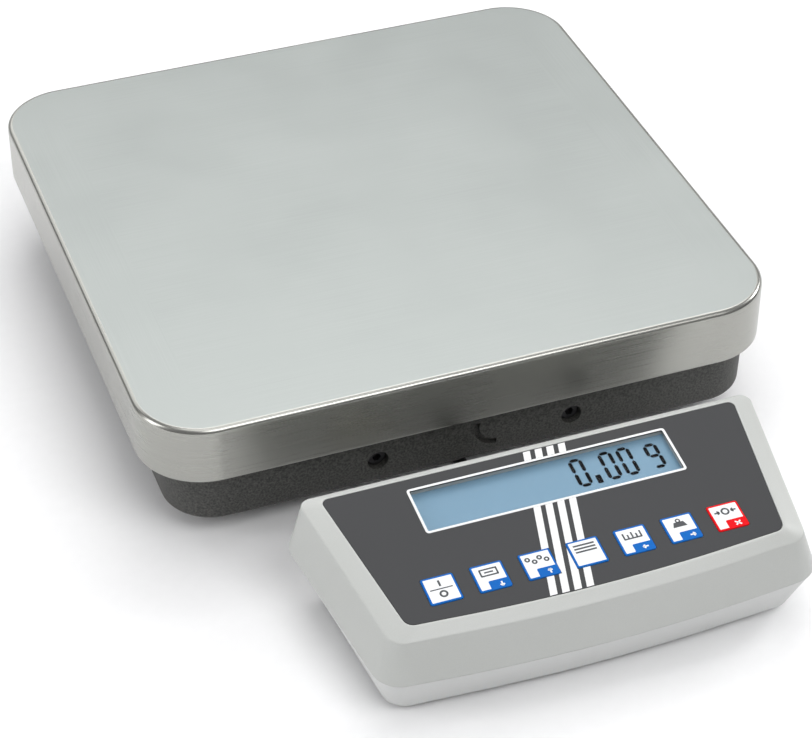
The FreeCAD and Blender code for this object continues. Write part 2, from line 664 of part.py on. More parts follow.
# -------------------------------------------------------------- write it out
def main():
    front = PAN_Y - BASE_D / 2
    save("weighing_pan", [pan()])
    save("pan_buffers", buffers())
    save("pan_carrier", [carrier()])
    save("carrier_screws", [socket_screw(x, PAN_Y, CARRIER_Z + ARM_T, CELL_SCREW_R, 19.0, V(0, 0, -1))
                            for x in CELL_SCREW_X])
    save("upper_spacer", [spacer(1, CELL_Z + CELL[2])])
    save("load_cell", [load_cell()])
    save("lower_spacer", [spacer(-1, FLOOR_Z + PEDESTAL)])
    save("load_cell_screws", [socket_screw(-x, PAN_Y, BASE_BOTTOM + 3.0, CELL_SCREW_R, 18.0, UP)
                              for x in CELL_SCREW_X])
    save("base_housing", [base_housing()])
    stops = four(ARM_X * STOP_AT, ARM_Y * STOP_AT)
    save("overload_stops", [rod(x, y, FLOOR_Z + 2, 2.95, CARRIER_Z - STOP_GAP - FLOOR_Z - 2)
                            for x, y in stops])
    save("stop_nuts", [hexagon(x, y, FLOOR_Z + 10, 10.0, 5.0).cut(rod(x, y, FLOOR_Z, 3.0, 20.0))
                       for x, y in stops])
    save("front_screws", [socket_screw(BASE_X + side * FRONT_SCREW_X,
                                       front + FRONT_SCREW_DEPTH + 2 * FRONT_SCREW_R,
                                       FRONT_SCREW_Z, FRONT_SCREW_R, 8.0, V(0, 1, 0))
                          for side in (-1, 1)])
    save("spirit_level", [spirit_level()])
    save("level_glass", [level_glass()])
    for i, (x, y) in enumerate(four(FOOT_X, FOOT_Y)):
        save("foot_disc_%d" % (i + 1), [foot_disc(x, y)])
        save("foot_stud_%d" % (i + 1), [rod(x, y, 3.0, STUD_R, 27.0)])
    save("foot_nuts", [hexagon(x, y, 9.2, 13.0, BASE_BOTTOM - 9.2).cut(
        rod(x, y, 8.0, STUD_R + RUNNING, 8.0)) for x, y in four(FOOT_X, FOOT_Y)])
    save("cable_gland", [cable_gland()])
    save("upper_cover", [upper_cover()])
    save("lower_cover", [lower_cover()])
    save("display_feet", display_feet())
    save("keypad_overlay", [keypad_overlay()])
    save("keypad_circuit", [keypad_circuit()])
    for i, name in enumerate(KEY_NAMES):
        save("key_" + name, [key(i)])
    save("display_window", [window_pane()])
    save("lcd_panel", [lcd_piece(1.9, -6.3, 2.6)])
    save("lcd_backlight", [lcd_piece(1.9, -11.3, 4.9)])
    save("lcd_frame", [lcd_frame()])
    save("main_board", [main_board()])
    save("board_parts", board_parts())
    save("board_screws", board_screws())
    save("cover_screws", cover_screws())
    save("data_socket", [data_socket()])
    save("power_socket", [power_socket()])
    save("strain_relief", [strain_relief()])
    save("display_cable", [tube(DISPLAY_ROUTE)])
    save("platform_cable", [tube(PLATFORM_ROUTE)])
    save("cable_coil", [cable_coil()])


main()
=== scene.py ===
# %% [markdown]
# # A counting scale
# A stainless pan sits on a cast platform, and a loose display unit stands in
# front of it on a cable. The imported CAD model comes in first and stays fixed;
# everything below is built around it, in metres, in the same frame.

# %% Load the fixed frame
import json
import math

import bmesh
import bpy
from mathutils import Matrix, Vector


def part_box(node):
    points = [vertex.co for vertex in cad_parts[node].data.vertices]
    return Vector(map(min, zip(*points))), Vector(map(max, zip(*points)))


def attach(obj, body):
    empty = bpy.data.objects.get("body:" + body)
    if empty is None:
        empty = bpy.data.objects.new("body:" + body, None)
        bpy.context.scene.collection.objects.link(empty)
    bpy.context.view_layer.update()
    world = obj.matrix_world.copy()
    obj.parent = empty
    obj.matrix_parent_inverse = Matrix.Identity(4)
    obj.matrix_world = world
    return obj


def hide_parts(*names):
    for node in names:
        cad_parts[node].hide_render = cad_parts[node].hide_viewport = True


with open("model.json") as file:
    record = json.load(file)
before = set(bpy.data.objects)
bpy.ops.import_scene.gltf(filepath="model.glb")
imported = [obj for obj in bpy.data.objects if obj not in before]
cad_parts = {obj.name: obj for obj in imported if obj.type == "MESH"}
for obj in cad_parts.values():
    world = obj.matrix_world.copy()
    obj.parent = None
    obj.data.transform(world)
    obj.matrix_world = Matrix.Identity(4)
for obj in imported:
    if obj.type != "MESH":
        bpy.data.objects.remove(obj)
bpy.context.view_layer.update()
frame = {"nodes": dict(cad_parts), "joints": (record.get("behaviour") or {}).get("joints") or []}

MM = 0.001
NODES = frame["nodes"]
KEYS = ("power", "print", "reference", "mode", "resolution", "unit", "tare")

# %% [markdown]
# ## Camera
# A long lens from a little over a metre keeps the sides of the pan nearly
# parallel. The camera turns round a point level with the pan's top, between
# its middle and the display. Its place is given as an angle round that point,
# an angle above it and a distance. It comes before the pieces.

# %% Camera
AZIMUTH, ELEVATION, ROLL = math.radians(-20.388), math.radians(38.379), math.radians(0.08)
DISTANCE = 1.159395
AIM = Vector((-0.03208, -0.140256, 0.0))
LENS, SENSOR = 111.40, 36.0
NEAREST, FARTHEST = 0.05, 30.0


def camera_axes():
    back = Vector((math.sin(AZIMUTH) * math.cos(ELEVATION),
                   -math.cos(AZIMUTH) * math.cos(ELEVATION), math.sin(ELEVATION)))
    right = (-back).cross(Vector((0, 0, 1))).normalized()
    up = right.cross(-back)
    turned_right = right * math.cos(ROLL) + up * math.sin(ROLL)
    turned_up = up * math.cos(ROLL) - right * math.sin(ROLL)
    return turned_right, turned_up, back


pan_low, pan_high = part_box("weighing_pan")
pan_middle = Vector(((pan_low[0] + pan_high[0]) / 2, (pan_low[1] + pan_high[1]) / 2,
                     pan_high[2]))
look_at = pan_middle + AIM
right, up, back = camera_axes()
camera_data = bpy.data.cameras.new("studio_camera")
camera_data.lens = LENS
camera_data.sensor_width = SENSOR
camera_data.sensor_fit = "HORIZONTAL"
camera_data.clip_start, camera_data.clip_end = NEAREST, FARTHEST
camera = bpy.data.objects.new("studio_camera", camera_data)
camera.matrix_world = Matrix.Translation(look_at + back * DISTANCE) @ Matrix(
    (right, up, back)).transposed().to_4x4()
bpy.context.scene.collection.objects.link(camera)
bpy.context.scene.camera = camera
print("camera at", [round(v, 4) for v in camera.location])

# %% [markdown]
# ## Cable
# One cable runs from the display, under the platform, to a neat coil behind it
# and then up into the gland. A real cable has no corners, so it is a NURBS
# curve: its control points pull the line without it touching them, and an
# order of 3 keeps each bend close to its point. The turns of the coil come
# from a loop and a short table of where their radius and height change.

# %% Cable route
CABLE = 6.0 * MM
LAY = CABLE / 2
COIL_MIDDLE = (-0.033, 0.253)
OUTER_TURN, INNER_TURN = 0.036, 0.030
TURN_POINTS = 16
# Where the coil changes: turns so far, radius, height of the cable's middle.
COIL_STOPS = ((0.0, OUTER_TURN, LAY), (0.9, OUTER_TURN, LAY),
              (1.1, INNER_TURN, LAY), (1.9, INNER_TURN, LAY),
              (2.1, INNER_TURN, LAY + CABLE), (2.9, INNER_TURN, LAY + CABLE),
              (3.1, OUTER_TURN, LAY + CABLE), (4.25, OUTER_TURN, LAY + CABLE))
relief_exit = (0.0006, -0.106, 0.0095)
to_coil = [relief_exit, (0.0006, -0.094, 0.0095), (-0.0004, -0.076, LAY + 0.0002),
           (-0.0014, -0.045, LAY), (0.0018, 0.008, LAY), (0.004, 0.074, LAY),
           (0.0052, 0.140, LAY), (0.0046, 0.196, LAY), (0.003, 0.229, LAY)]
to_gland = [(-0.057, 0.2888, 0.0098), (-0.078, 0.2775, 0.0134), (-0.089, 0.258, 0.0215),
            (-0.090, 0.239, 0.027), (-0.090, 0.22685, 0.027)]


def coil_spot(turn):
    """Radius and height at a number of turns, straight between two stops."""
    for (turn_a, radius_a, high_a), (turn_b, radius_b, high_b) in zip(COIL_STOPS, COIL_STOPS[1:]):
        if turn <= turn_b:
            part = (turn - turn_a) / (turn_b - turn_a)
            return radius_a + part * (radius_b - radius_a), high_a + part * (high_b - high_a)


def coil_points():
    """Outer and inner turn on the floor, then inner and outer turn on top."""
    points = []
    total = COIL_STOPS[-1][0]
    count = int(total * TURN_POINTS)
    for i in range(count + 1):
        turn = i * total / count
        radius, height = coil_spot(turn)
        angle = 2 * math.pi * turn
        points.append((COIL_MIDDLE[0] + radius * math.cos(angle),
                       COIL_MIDDLE[1] + radius * math.sin(angle), height))
    return points


route = to_coil + coil_points() + to_gland
print("cable points", len(route))

# %% Cable curve
cable_curve = bpy.data.curves.new("cable", "CURVE")
cable_curve.dimensions = "3D"
cable_curve.bevel_depth = 1.0
cable_curve.bevel_resolution = 5
cable_curve.use_fill_caps = True
line = cable_curve.splines.new("NURBS")
line.points.add(len(route) - 1)
for point, place in zip(line.points, route):
    point.co = (*place, 1.0)
    point.radius = LAY
line.order_u = 3
line.use_endpoint_u = True
line.resolution_u = 8
cable = bpy.data.objects.new("cable", cable_curve)
bpy.context.scene.collection.objects.link(cable)


def line_length(piece):
    """Length of a curve's own line, with its thickness taken off for a moment."""
    depth, piece.data.bevel_depth = piece.data.bevel_depth, 0.0
    bpy.context.view_layer.update()
    thin = bpy.data.meshes.new_from_object(piece)
    piece.data.bevel_depth = depth
    spots = [v.co.copy() for v in thin.vertices]
    bpy.data.meshes.remove(thin)
    return sum((b - a).length for a, b in zip(spots, spots[1:]))


print("cable length", round(line_length(cable), 4))
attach(cable, "base")
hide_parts("display_cable", "platform_cable", "cable_coil")

# %% [markdown]
# ## Floor and light
# The floor is a plain white sheet. Brushed steel shows whatever stands behind
# it, so three wide soft lights at the rear give the pan its even grey, and the
# lights above and in front are weaker. A small one low on the right draws the
# shadow to the left, and one low on the left brightens the flange. The sky is
# a pale grey that darkens to half as bright at the horizon.

# %% Floor
FLOOR, FLOOR_LEVEL = 6, -0.0001
floor_mesh = bpy.data.meshes.new("floor")
floor_corners = ((-FLOOR, -FLOOR), (FLOOR, -FLOOR), (FLOOR, FLOOR), (-FLOOR, FLOOR))
floor_mesh.from_pydata([(x, y, FLOOR_LEVEL) for x, y in floor_corners], [], [(0, 1, 2, 3)])
floor = bpy.data.objects.new("floor", floor_mesh)
bpy.context.scene.collection.objects.link(floor)

# %% Sky
HORIZON, HORIZON_GREY = 0.0, (0.327, 0.327, 0.332, 1)
OVERHEAD, OVERHEAD_GREY = 0.75, (0.655, 0.655, 0.665, 1)
SKY_STRENGTH = 0.55
world = bpy.data.worlds.new("tent")
bpy.context.scene.world = world
world.use_nodes = True
sky_nodes, sky_links = world.node_tree.nodes, world.node_tree.links
sky_place = sky_nodes.new("ShaderNodeTexCoord")
sky_split = sky_nodes.new("ShaderNodeSeparateXYZ")
sky_ramp = sky_nodes.new("ShaderNodeValToRGB")
sky_links.new(sky_place.outputs["Generated"], sky_split.inputs[0])
sky_links.new(sky_split.outputs["Z"], sky_ramp.inputs["Fac"])
sky_stops = ((HORIZON, HORIZON_GREY), (OVERHEAD, OVERHEAD_GREY))
for stop, (position, grey) in zip(sky_ramp.color_ramp.elements, sky_stops):
    stop.position = position
    stop.color = grey
sky_links.new(sky_ramp.outputs["Color"], sky_nodes["Background"].inputs["Color"])
sky_nodes["Background"].inputs["Strength"].default_value = SKY_STRENGTH
bpy.context.scene.view_settings.view_transform = "Standard"


# %% Lights
def soft_light(name, place, aim, width, depth, watts):
    """Soft rectangular light at a place, turned towards a point."""
    data = bpy.data.lights.new(name, "AREA")
    data.shape = "RECTANGLE"
    data.size, data.size_y = width, depth
    data.energy = watts
    lamp = bpy.data.objects.new(name, data)
    lamp.location = place
    lamp.rotation_euler = (Vector(aim) - Vector(place)).to_track_quat("-Z", "Y").to_euler()
    bpy.context.scene.collection.objects.link(lamp)
    print(name, watts, "W")


soft_light("top_light", (-0.1, -0.1, 1.60), (0, 0, 0), 1.0, 1.0, 5.1)
soft_light("front_light", (0.2, -1.1, 1.35), (0, -0.1, 0), 1.0, 0.7, 10.8)
soft_light("right_light", (1.6, 0.3, 0.9), (0, 0, 0), 0.6, 0.6, 8.9)
soft_light("rear_wall", (0.9, 2.4, 1.8), (0, 0.1, 0.05), 3.4, 2.2, 12.3)
soft_light("rear_left", (-0.9, 2.4, 1.6), (0, 0.1, 0.05), 2.0, 1.6, 12.5)
soft_light("rear_high", (0.7, 1.5, 2.2), (0, 0, 0.05), 1.6, 1.2, 15.4)
soft_light("left_light", (-1.6, 0.1, 0.7), (0, 0, 0.05), 0.5, 1.2, 8.8)

# %% [markdown]
# ## Finishes
# Every finish is a small node graph with the same skeleton: a pattern drives
# colour, roughness and a bump. One helper wires that skeleton, so each finish
# below only says how it differs. A Noise texture on Object coordinates gives
# an even pattern in real millimetres, whatever the size of the piece.

# %% Finish helper
FINISHES = {}
BROAD_SCALE, BROAD_DETAIL = 14.0, 2.0   # the slow change of tone across a piece
RAMP_FROM, RAMP_TO = 0.36, 0.66         # pattern values that give the two colours
ROUGH_FROM, ROUGH_TO = 0.3, 0.7         # pattern values that give the roughness ends


def finish_of(name, colour, other, roughness, spread, grain, bump=0.0, metallic=0.0,
              stretch=(1, 1, 1), detail=4.0, use_uv=False, speckle=0.5, sockets=()):
    """A Principled finish whose colour and roughness wander between two values
    over a noise with a grain in millimetres."""
    material = bpy.data.materials.new(name)
    material.use_nodes = True
    nodes, links = material.node_tree.nodes, material.node_tree.links
    shader = nodes["Principled BSDF"]
    place = nodes.new("ShaderNodeTexCoord")
    mapping = nodes.new("ShaderNodeMapping")
    mapping.inputs["Scale"].default_value = stretch
    noise = nodes.new("ShaderNodeTexNoise")
    noise.inputs["Scale"].default_value = 1.0 / (grain * MM)
    noise.inputs["Detail"].default_value = detail
    broad = nodes.new("ShaderNodeTexNoise")
    broad.inputs["Scale"].default_value = BROAD_SCALE
    broad.inputs["Detail"].default_value = BROAD_DETAIL
    links.new(place.outputs["UV" if use_uv else "Object"], mapping.inputs["Vector"])
    links.new(mapping.outputs[0], noise.inputs["Vector"])
    links.new(place.outputs["Object"], broad.inputs["Vector"])
    both = nodes.new("ShaderNodeMix")
    both.data_type = "FLOAT"
    both.inputs["Factor"].default_value = speckle
    links.new(broad.outputs["Fac"], both.inputs["A"])
    links.new(noise.outputs["Fac"], both.inputs["B"])
    ramp = nodes.new("ShaderNodeValToRGB")
    ramp.color_ramp.elements[0].position = RAMP_FROM
    ramp.color_ramp.elements[0].color = (*colour, 1)
    ramp.color_ramp.elements[1].position = RAMP_TO
    ramp.color_ramp.elements[1].color = (*other, 1)
    links.new(both.outputs["Result"], ramp.inputs["Fac"])
    links.new(ramp.outputs["Color"], shader.inputs["Base Color"])
    rough = nodes.new("ShaderNodeMapRange")
    rough.inputs["From Min"].default_value = ROUGH_FROM
    rough.inputs["From Max"].default_value = ROUGH_TO
    rough.inputs["To Min"].default_value = roughness - spread
    rough.inputs["To Max"].default_value = roughness + spread
    links.new(both.outputs["Result"], rough.inputs["Value"])
    links.new(rough.outputs["Result"], shader.inputs["Roughness"])
    shader.inputs["Metallic"].default_value = metallic
    if bump:
        relief = nodes.new("ShaderNodeBump")
        relief.inputs["Strength"].default_value = 1.0
        relief.inputs["Distance"].default_value = bump * MM
        links.new(noise.outputs["Fac"], relief.inputs["Height"])
        links.new(relief.outputs["Normal"], shader.inputs["Normal"])
    for socket, value in sockets:
        shader.inputs[socket].default_value = value
    FINISHES[name] = material


print("finish helper ready")

# %% [markdown]
# ## Metals
# Brushed stainless is a grain drawn out a few hundred times longer in one
# direction: the pan carries a UV map in metres along and across its rim, so
# the brushing turns with the flange round each corner. Castings are the
# opposite, an even orange-peel, so their grain isn't stretched at all.

# %% Metals
finish_of("satin_steel", (0.350, 0.372, 0.361), (0.404, 0.427, 0.415), 0.44, 0.05, 1.0, 0.006, 1.0,
          (0.012, 3.0, 1.0), 3.0, True, 0.45)
finish_of("flange_steel", (0.35, 0.35, 0.328), (0.40, 0.40, 0.372), 0.27, 0.035, 1.0, 0.001, 1.0,
          (0.010, 3.5, 1.0), 3.0, True, 0.4)
finish_of("dark_casting", (0.007, 0.007, 0.006), (0.076, 0.076, 0.069), 0.56, 0.10, 1.0, 0.09,
          0.0, (1, 1, 1), 6.0, False, 0.85, [("Specular IOR Level", 0.55)])
finish_of("cast_alloy", (0.40, 0.41, 0.42), (0.50, 0.51, 0.52), 0.52, 0.08, 1.2, 0.04, 1.0)
finish_of("milled_alloy", (0.62, 0.63, 0.64), (0.72, 0.73, 0.74), 0.30, 0.06, 0.6, 0.01, 1.0,
          (1, 12, 1))
finish_of("zinc_plate", (0.48, 0.49, 0.50), (0.60, 0.60, 0.58), 0.34, 0.08, 0.7, 0.01, 1.0)
finish_of("black_oxide", (0.022, 0.022, 0.024), (0.05, 0.05, 0.052), 0.36, 0.10, 0.5, 0.01, 0.85)
finish_of("connector_metal", (0.55, 0.54, 0.50), (0.66, 0.65, 0.60), 0.30, 0.06, 0.5, 0.01, 1.0)

# %% [markdown]
# ## Plastics, rubber and films
# The housing is fine-textured moulded plastic: a sub-millimetre bump breaks
# the highlight without showing as grain. The lower cover is the same plastic
# with painted light: a lighter copy stands in for the light the white floor
# bounces up onto it. The printed film is smoother, with a
# shallow orange-peel from its hard coat. Rubber is darkest and dullest.

# %% Plastics, rubber and films
# Painted light: the lower cover's plastic is lighter than the upper cover's to stand in for floor
# bounce light.
finish_of("lower_plastic_painted_bounce_light", (0.585, 0.592, 0.585), (0.625, 0.632, 0.625), 0.42, 0.05, 0.35, 0.010,
          0.0, (1, 1, 1), 5.0, False, 0.6, [("Specular IOR Level", 0.45)])
finish_of("housing_plastic", (0.470, 0.483, 0.465), (0.510, 0.521, 0.504), 0.35, 0.05, 0.35, 0.010,
          0.0, (1, 1, 1), 5.0, False, 0.6, [("Specular IOR Level", 0.45)])
finish_of("overlay_grey", (0.047, 0.048, 0.050), (0.053, 0.054, 0.057), 0.50, 0.04, 0.25, 0.006,
          0.0, (1, 1, 1), 3.0, sockets=[("Specular IOR Level", 0.2)])
finish_of("key_white", (0.78, 0.80, 0.81), (0.84, 0.85, 0.86), 0.34, 0.04, 0.3, 0.006)
finish_of("ink_white", (0.76, 0.77, 0.77), (0.84, 0.84, 0.84), 0.40, 0.05, 0.4, 0.004)
finish_of("ink_blue", (0.002, 0.115, 0.45), (0.004, 0.130, 0.49), 0.45, 0.04, 0.3, 0.004,
          sockets=[("Specular IOR Level", 0.1)])
finish_of("ink_red", (0.72, 0.001, 0.004), (0.78, 0.002, 0.008), 0.45, 0.04, 0.3, 0.004,
          sockets=[("Specular IOR Level", 0.1)])
finish_of("ink_dark", (0.030, 0.034, 0.040), (0.045, 0.050, 0.058), 0.38, 0.05, 0.3, 0.004)
finish_of("circuit_film", (0.55, 0.50, 0.40), (0.62, 0.56, 0.45), 0.30, 0.05, 0.8, 0.01)
finish_of("rubber", (0.016, 0.016, 0.017), (0.028, 0.028, 0.029), 0.72, 0.08, 0.6, 0.03)
finish_of("foot_plastic", (0.020, 0.020, 0.021), (0.034, 0.034, 0.035), 0.50, 0.08, 0.5, 0.02)
finish_of("cable_sheath", (0.014, 0.014, 0.015), (0.026, 0.026, 0.027), 0.42, 0.07, 0.5, 0.012)
finish_of("black_plastic", (0.018, 0.018, 0.019), (0.030, 0.030, 0.031), 0.46, 0.08, 0.5, 0.015)
finish_of("board_green", (0.010, 0.085, 0.030), (0.016, 0.12, 0.045), 0.36, 0.06, 1.5, 0.02)
finish_of("lcd_blue", (0.195, 0.350, 0.480), (0.212, 0.368, 0.502), 0.30, 0.03, 0.2, 0.002, 0.0,
          (1, 1, 1), 2.0, False, 0.3, [("Emission Color", (0.27, 0.43, 0.60, 1)),
                                      ("Emission Strength", 0.06), ("Specular IOR Level", 0.2)])
finish_of("lcd_ink", (0.001, 0.001, 0.002), (0.003, 0.003, 0.004), 0.50, 0.04, 0.3, 0.002,
          sockets=[("Specular IOR Level", 0.02)])
finish_of("backlight_white", (0.70, 0.72, 0.74), (0.78, 0.79, 0.80), 0.40, 0.05, 0.6, 0.01)
finish_of("clear_window", (0.02, 0.025, 0.03), (0.03, 0.035, 0.04), 0.10, 0.02, 0.6, 0.001,
          sockets=[("Alpha", 0.06), ("IOR", 1.49)])
finish_of("level_liquid", (0.30, 0.62, 0.05), (0.38, 0.72, 0.08), 0.10, 0.03, 0.6, 0.002,
          sockets=[("Transmission Weight", 0.6), ("IOR", 1.35)])
finish_of("floor_sheet", (0.93, 0.93, 0.935), (0.95, 0.95, 0.955), 0.60, 0.04, 6.0, 0.01)
floor.data.materials.append(FINISHES["floor_sheet"])
cable_curve.materials.append(FINISHES["cable_sheath"])

# %% [markdown]
# ## Finishes on the CAD pieces
# A CAD piece whose shape is already right keeps it, and only gets a finish in
# its material slots. Small hardware and everything inside the two units is
# like that: screws, nuts, the load cell, the board.

# %% Finishes on the CAD pieces
CAD_FINISHES = {
    "pan_buffers": "rubber", "pan_carrier": "cast_alloy", "carrier_screws": "black_oxide",
    "upper_spacer": "milled_alloy", "load_cell": "milled_alloy", "lower_spacer": "milled_alloy",
    "load_cell_screws": "black_oxide", "base_housing": "dark_casting",
    "overload_stops": "zinc_plate", "stop_nuts": "zinc_plate", "front_screws": "black_oxide",
    "spirit_level": "foot_plastic", "level_glass": "level_liquid", "foot_nuts": "zinc_plate",
    "cable_gland": "black_plastic", "upper_cover": "housing_plastic",
    # The lower cover gets the lighter copy of the housing plastic, painted floor bounce light.
    "lower_cover": "lower_plastic_painted_bounce_light", "display_feet": "rubber", "keypad_overlay": "overlay_grey",
    "keypad_circuit": "circuit_film", "display_window": "clear_window", "lcd_panel": "lcd_blue",
    "lcd_backlight": "backlight_white", "lcd_frame": "black_plastic", "main_board": "board_green",
    "board_parts": "black_plastic", "board_screws": "zinc_plate", "cover_screws": "zinc_plate",
    "data_socket": "connector_metal", "power_socket": "black_plastic",
    "strain_relief": "cable_sheath", "weighing_pan": "satin_steel"}
for i in range(1, 5):
    CAD_FINISHES["foot_disc_%d" % i] = "foot_plastic"
    CAD_FINISHES["foot_stud_%d" % i] = "zinc_plate"
for key in KEYS:
    CAD_FINISHES["key_" + key] = "key_white"


def put_finish(node, finish):
    mesh = NODES[node].data
    mesh.materials.clear()
    mesh.materials.append(FINISHES[finish])


for node, finish in CAD_FINISHES.items():
    put_finish(node, finish)
print("CAD pieces finished", len(CAD_FINISHES), "of", len(NODES))

# %% [markdown]
# ## Skins from rings
# The pan and the display's upper cover are thin walls all round: the same
# outline again and again, a little larger or smaller at each height. A list of
# closed rings with the same number of points becomes quads ring to ring, and
# the first and last ring are capped, so a wall with an inside is one closed
# skin. The rings also give a UV map in metres: along the rim and down the wall.

# %% Ring tools
def arc_corner(before, corner, after, radius, steps):
    """Points of the arc that rounds one corner of an outline."""
    to_before, to_after = (before - corner).normalized(), (after - corner).normalized()
    half_turn = (math.pi - to_before.angle(to_after)) / 2
    reach = radius * math.tan(half_turn)
    middle = corner + (to_before + to_after).normalized() * (radius / math.cos(half_turn))
    start, end = corner + to_before * reach, corner + to_after * reach
    from_middle, to_middle = start - middle, end - middle
    weight = math.sin(2 * half_turn) or 1.0
    points = []
    for i in range(steps + 1):
        part = i / steps
        points.append(middle + (from_middle * math.sin((1 - part) * 2 * half_turn)
                                + to_middle * math.sin(part * 2 * half_turn)) / weight)
    return points


def outline(corners, radii, steps):
    """Closed outline with every corner rounded, its points all at z 0."""
    flat = [Vector((x, y, 0.0)) for x, y in corners]
    points = []
    for i, corner in enumerate(flat):
        points += arc_corner(flat[i - 1], corner, flat[(i + 1) % len(flat)], radii[i], steps[i])
    return points


def skin(name, rings, finishes, choose=lambda row: 0):
    """Closed skin through rings of equal length, capped at both ends. Which
    finish a row of faces gets is chosen by its number."""
    work = bmesh.new()
    uv = work.loops.layers.uv.new("rim_and_wall")
    rows = [[work.verts.new(p) for p in ring] for ring in rings]
    count = len(rows[0])
    along = [0.0]
    for i in range(count):
        along.append(along[-1] + (rings[0][(i + 1) % count] - rings[0][i]).length)
    down = [0.0]
    for a, b in zip(rings, rings[1:]):
        down.append(down[-1] + (b[0] - a[0]).length)
    for r in range(len(rows) - 1):
        for i in range(count):
            j = (i + 1) % count
            corners = [rows[r][i], rows[r][j], rows[r + 1][j], rows[r + 1][i]]
            face = work.faces.new(corners)
            face.smooth = True
            face.material_index = choose(r)
            spots = [(along[i], down[r]), (along[i + 1], down[r]),
                     (along[i + 1], down[r + 1]), (along[i], down[r + 1])]
            for loop, spot in zip(face.loops, spots):
                loop[uv].uv = spot
    for row, index in ((rows[0], 0), (rows[-1], len(rows) - 2)):
        cap = work.faces.new(row)
        cap.material_index = choose(index)
        for loop in cap.loops:
            loop[uv].uv = (loop.vert.co.x, loop.vert.co.y)
    bmesh.ops.recalc_face_normals(work, faces=work.faces)
    mesh = bpy.data.meshes.new(name)
    work.to_mesh(mesh)
    work.free()
    for finish in finishes:
        mesh.materials.append(FINISHES[finish])
    piece = bpy.data.objects.new(name, mesh)
    bpy.context.scene.collection.objects.link(piece)
    print(name, len(mesh.vertices), "points", len(mesh.polygons), "faces")
    return piece


BEND_SHARE = 0.38                      # most of a wall that a bend may take
WALL_REACH, WALL_SHARE = 1.5, 0.47     # the same for the ring beside the bend


def bend(points_a, corner, points_b, radius, steps):
    """Rings that round the edge where two walls meet: at each place along the
    rim a curve leaves the first wall, nears the corner and joins the second.
    One more ring on each wall keeps the walls' own shading flat."""
    rings = []
    for k in range(-1, steps + 2):
        t = min(max(k / steps, 0.0), 1.0)
        on_bend = 0 <= k <= steps
        reach = radius if on_bend else radius * WALL_REACH
        share = BEND_SHARE if on_bend else WALL_SHARE
        ring = []
        for a, c, b in zip(points_a, corner, points_b):
            start = c + (a - c).normalized() * min(reach, (a - c).length * share)
            end = c + (b - c).normalized() * min(reach, (b - c).length * share)
            ring.append(start * (1 - t) ** 2 + c * 2 * t * (1 - t) + end * t ** 2)
        rings.append(ring)
    return rings


print("ring tools ready")

# %% [markdown]
# ## Weighing pan
# The real pan is one sheet of stainless, pressed so that its edge turns down
# with a small bend. A box with a bevel would have a solid inside and wrong
# corners, so the pan is a skin: from the middle of the top out round the bend,
# down the outside of the flange, up its inside and back under the top, a
# sheet's thickness lower. The top and the flange are brushed differently, so
# they are two finishes.

# %% Weighing pan
PAN_CORNER, PAN_BEND, PAN_SHEET = 33.0 * MM, 2.6 * MM, 1.2 * MM
PAN_LIP = 0.35 * MM
CORNER_STEPS, BEND_STEPS, INNER_STEPS = 20, 8, 4
TOP_INSET, TOP_EDGE, WALL_RING = 26 * MM, 1.2 * MM, 1 * MM
LAST_OUTER_TOP, FIRST_INNER_TOP = 1, 23   # rows of faces that lie on the flat top


def pan_ring(inset, z):
    """The pan's outline at one height, smaller all round by the inset."""
    half_w = (pan_high[0] - pan_low[0]) / 2 - inset
    half_d = (pan_high[1] - pan_low[1]) / 2 - inset
    corners = [(-half_w, half_d), (-half_w, -half_d), (half_w, -half_d), (half_w, half_d)]
    ring = outline(corners, [PAN_CORNER - inset] * 4, [CORNER_STEPS] * 4)
    return [Vector((p.x + pan_middle.x, p.y + pan_middle.y, z)) for p in ring]


def pan_rings():
    """From the middle of the top, down outside, up inside, and back under it."""
    top, low = pan_high[2], pan_low[2]
    inner_bend = PAN_BEND - PAN_SHEET
    rows = [pan_ring(PAN_BEND + TOP_INSET, top), pan_ring(PAN_BEND + TOP_EDGE, top)]
    for k in range(BEND_STEPS + 1):
        turn = math.radians(90 * k / BEND_STEPS)
        rows.append(pan_ring(PAN_BEND * (1 - math.sin(turn)),
                             top - PAN_BEND * (1 - math.cos(turn))))
    rows += [pan_ring(inset, z) for inset, z in (
        (0, top - PAN_BEND - WALL_RING), (0, low + WALL_RING), (0, low + PAN_LIP),
        (PAN_LIP, low), (PAN_SHEET - PAN_LIP, low), (PAN_SHEET, low + PAN_LIP),
        (PAN_SHEET, low + WALL_RING), (PAN_SHEET, top - PAN_BEND - WALL_RING))]
    for k in range(INNER_STEPS + 1):
        turn = math.radians(90 * k / INNER_STEPS)
        rows.append(pan_ring(PAN_SHEET + inner_bend * (1 - math.cos(turn)),
                             top - PAN_BEND + inner_bend * math.sin(turn)))
    rows.append(pan_ring(PAN_BEND + TOP_INSET, top - PAN_SHEET))
    return rows


def pan_finish(row):
    return 0 if row <= LAST_OUTER_TOP or row >= FIRST_INNER_TOP else 1


pan = skin("pan_sheet", pan_rings(), ["satin_steel", "flange_steel"], pan_finish)
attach(pan, "pan")
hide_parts("weighing_pan")

# %% [markdown]
# ## The display's sloping face
# Everything on the display is laid out on its sloping top, so its pieces are
# drawn flat, x to the right and y up the slope, and then carried there. The
# slope and the place come from the keypad film and the way the keys press.

# %% Face frame
press = next(j for j in frame["joints"] if j["name"] == "press_mode")
press_axis = Vector(press["axis"])
TILT = math.atan2(press_axis.y, -press_axis.z)
film_low, film_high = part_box("keypad_overlay")
FILM = 0.9 * MM
FILM_REAR = -3.5 * MM
face_origin = Vector(((film_low[0] + film_high[0]) / 2,
                      film_high[1] - FILM_REAR * math.cos(TILT) - FILM * math.sin(TILT),
                      film_high[2] - FILM_REAR * math.sin(TILT)))
FACE = Matrix.Translation(face_origin) @ Matrix.Rotation(TILT, 4, "X")
print("slope", round(math.degrees(TILT), 2), "from", [round(v, 5) for v in face_origin])

